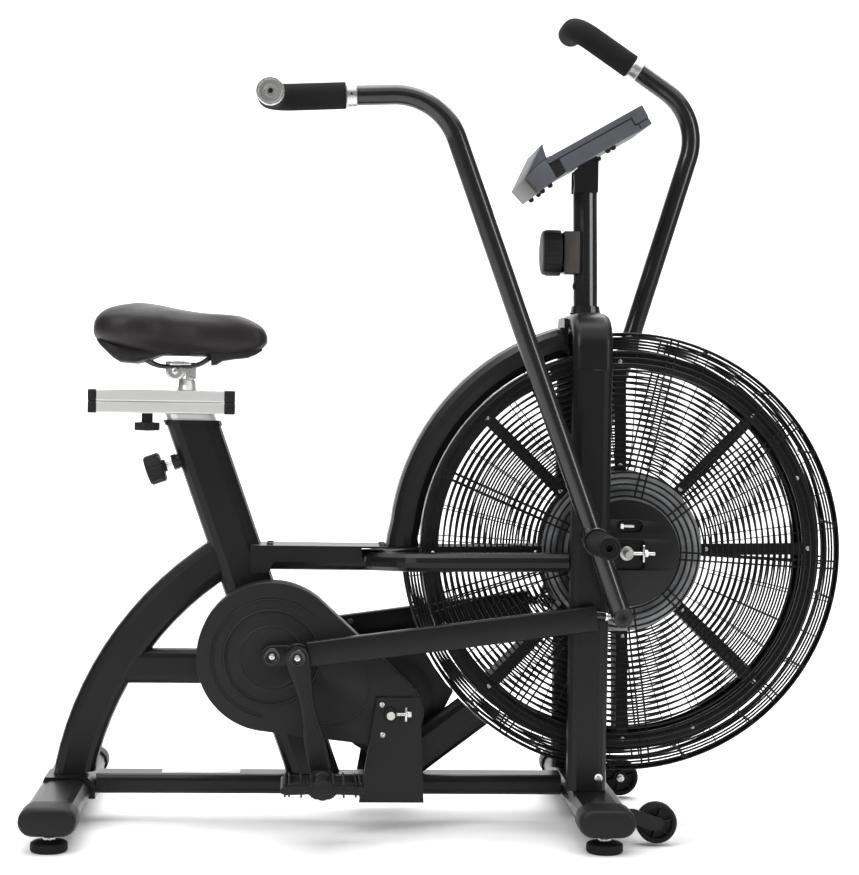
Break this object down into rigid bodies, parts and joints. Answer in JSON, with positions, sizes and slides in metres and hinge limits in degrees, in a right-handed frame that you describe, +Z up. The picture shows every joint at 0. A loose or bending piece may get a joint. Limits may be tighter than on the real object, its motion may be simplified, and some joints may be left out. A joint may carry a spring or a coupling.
{
  "type": "air bike",
  "caption": "Fan-braked upright exercise bike with a caged fan wheel, swinging hand levers, pedals and an adjustable saddle.",
  "frame": {"origin": "on the floor, at the middle of the bounding box seen from above", "axes": "+X towards the fan and away from the saddle, +Y towards the rider's left, +Z up"},
  "size_m": [1.207, 0.58, 1.2564],
  "materials": {
    "powder_black": "satin",
    "black_plastic": "matte",
    "slate_plastic": "satin",
    "black_vinyl": "satin",
    "black_foam": "matte",
    "zinc": "satin",
    "aluminium": "satin",
    "galvanised": "satin",
    "rubber": "matte"
  },
  "bodies": {
    "frame": {"base_rail": "powder_black", "rear_stabilizer": "powder_black", "front_stabilizer": "powder_black", "rear_cap_near": "black_plastic", "rear_cap_far": "black_plastic", "front_cap_near": "black_plastic", "front_cap_far": "black_plastic", "rear_arc_tube": "powder_black", "rear_brace": "powder_black", "seat_tube": "powder_black", "top_channel": "powder_black", "arch_tube": "powder_black", "side_tube_near": "powder_black", "side_tube_far": "powder_black", "mast_leg_near": "powder_black", "mast_leg_far": "powder_black", "mast_head": "powder_black", "diagonal_strut": "powder_black", "bracket_plate_near": "powder_black", "bracket_plate_far": "powder_black", "chain_cover": "black_plastic", "second_cover": "black_plastic", "guard_near": "powder_black", "guard_far": "powder_black", "hub_plate_near": "powder_black", "hub_plate_far": "powder_black", "fan_axle": "zinc", "console_post": "powder_black", "foot_peg_near": "rubber", "foot_peg_far": "rubber"},
    "crank": {"crank_axle": "galvanised", "crank_near": "powder_black", "crank_far": "powder_black"},
    "intermediate": {"intermediate_shaft": "galvanised"},
    "fan": {"fan_hub": "galvanised", "fan_wheel": "powder_black"},
    "seat_slide": {"seat_post": "aluminium", "lower_rail": "aluminium"},
    "saddle_slide": {"upper_rail": "aluminium"},
    "saddle_tilt": {"saddle_clamp": "zinc", "saddle_base": "black_plastic", "saddle": "black_vinyl"},
    "height_pin": {"height_pin": "black_plastic"},
    "slide_knob": {"slide_knob": "black_plastic"},
    "console": {"console": "slate_plastic"},
    "console_knob": {"console_knob": "black_plastic"},
    "pushrod_near": {"pushrod_near": "powder_black"},
    "pedal_near": {"pedal_near": "black_plastic"},
    "lever_near": {"lever_near": "powder_black", "grip_near": "black_foam"},
    "transport_wheel_near": {"transport_wheel_near": "rubber"},
    "pushrod_far": {"pushrod_far": "powder_black"},
    "pedal_far": {"pedal_far": "black_plastic"},
    "lever_far": {"lever_far": "powder_black", "grip_far": "black_foam"},
    "transport_wheel_far": {"transport_wheel_far": "rubber"},
    "foot_rear_near": {"foot_rear_near": "rubber"},
    "foot_rear_far": {"foot_rear_far": "rubber"},
    "foot_front_near": {"foot_front_near": "rubber"},
    "foot_front_far": {"foot_front_far": "rubber"}
  },
  "joints": [
    {"name": "fan_spin", "type": "hinge", "parent": "frame", "child": "fan", "pos_m": [0.2725, 0, 0.417], "axis": [0, 1, 0], "continuous": true},
    {"name": "intermediate_spin", "type": "hinge", "parent": "frame", "child": "intermediate", "pos_m": [-0.078, 0, 0.177], "axis": [0, 1, 0], "continuous": true},
    {"name": "crank_spin", "type": "hinge", "parent": "frame", "child": "crank", "pos_m": [-0.2535, 0, 0.2625], "axis": [0, 1, 0], "continuous": true},
    {"name": "pushrod_near_pivot", "type": "hinge", "parent": "crank", "child": "pushrod_near", "pos_m": [-0.21639, -0.126, 0.26509], "axis": [0, 1, 0], "continuous": true},
    {"name": "pedal_near_spin", "type": "hinge", "parent": "crank", "child": "pedal_near", "pos_m": [-0.17847, -0.208, 0.09118], "axis": [0, 1, 0], "continuous": true},
    {"name": "lever_near_swing", "type": "hinge", "parent": "frame", "child": "lever_near", "pos_m": [0.217, -0.15, 0.4395], "axis": [0, 1, 0], "range_deg": [0, 36.8]},
    {"name": "transport_wheel_near_spin", "type": "hinge", "parent": "frame", "child": "transport_wheel_near", "pos_m": [0.3075, -0.181, 0.0335], "axis": [0, 1, 0], "continuous": true},
    {"name": "pushrod_far_pivot", "type": "hinge", "parent": "crank", "child": "pushrod_far", "pos_m": [-0.29061, 0.126, 0.25991], "axis": [0, 1, 0], "continuous": true},
    {"name": "pedal_far_spin", "type": "hinge", "parent": "crank", "child": "pedal_far", "pos_m": [-0.32853, 0.208, 0.43382], "axis": [0, 1, 0], "continuous": true},
    {"name": "lever_far_swing", "type": "hinge", "parent": "frame", "child": "lever_far", "pos_m": [0.217, 0.15, 0.4395], "axis": [0, 1, 0], "range_deg": [-36.8, 0]},
    {"name": "transport_wheel_far_spin", "type": "hinge", "parent": "frame", "child": "transport_wheel_far", "pos_m": [0.3075, 0.181, 0.0335], "axis": [0, 1, 0], "continuous": true},
    {"name": "foot_rear_near_turn", "type": "hinge", "parent": "frame", "child": "foot_rear_near", "pos_m": [-0.562, -0.23, 0], "axis": [0, 0, 1], "continuous": true},
    {"name": "foot_rear_far_turn", "type": "hinge", "parent": "frame", "child": "foot_rear_far", "pos_m": [-0.562, 0.23, 0], "axis": [0, 0, 1], "continuous": true},
    {"name": "foot_front_near_turn", "type": "hinge", "parent": "frame", "child": "foot_front_near", "pos_m": [0.2256, -0.23, 0], "axis": [0, 0, 1], "continuous": true},
    {"name": "foot_front_far_turn", "type": "hinge", "parent": "frame", "child": "foot_front_far", "pos_m": [0.2256, 0.23, 0], "axis": [0, 0, 1], "continuous": true},
    {"name": "seat_height", "type": "slide", "parent": "frame", "child": "seat_slide", "axis": [-0.3354, 0, 0.9421], "range_m": [0, 0.14]},
    {"name": "saddle_fore_aft", "type": "slide", "parent": "seat_slide", "child": "saddle_slide", "axis": [1, 0, 0], "range_m": [-0.05, 0.05]},
    {"name": "saddle_tilt", "type": "hinge", "parent": "saddle_slide", "child": "saddle_tilt", "pos_m": [-0.3985, 0, 0.6825], "axis": [0, 1, 0], "range_deg": [-12, 12]},
    {"name": "height_pin_pull", "type": "slide", "parent": "frame", "child": "height_pin", "axis": [-0.9421, 0, -0.3354], "range_m": [0, 0.01], "stiffness_N_per_m": 800},
    {"name": "slide_knob_turn", "type": "hinge", "parent": "seat_slide", "child": "slide_knob", "pos_m": [-0.448, 0, 0.6], "axis": [0, 0, 1], "range_deg": [-180, 180]},
    {"name": "console_tilt", "type": "hinge", "parent": "frame", "child": "console", "pos_m": [0.2115, 0, 1.008], "axis": [0, 1, 0], "range_deg": [-5, 10]},
    {"name": "console_knob_turn", "type": "hinge", "parent": "frame", "child": "console_knob", "pos_m": [0.165, 0, 0.8685], "axis": [1, 0, 0], "range_deg": [-150, 150]}
  ],
  "couplings": [
    {"joint": "intermediate_spin", "follows": "fan_spin", "ratio": 0.5},
    {"joint": "crank_spin", "follows": "fan_spin", "ratio": 0.15385},
    {"joint": "pushrod_near_pivot", "follows": "fan_spin", "ratio": -0.15385},
    {"joint": "pushrod_far_pivot", "follows": "fan_spin", "ratio": -0.15385}
  ]
}
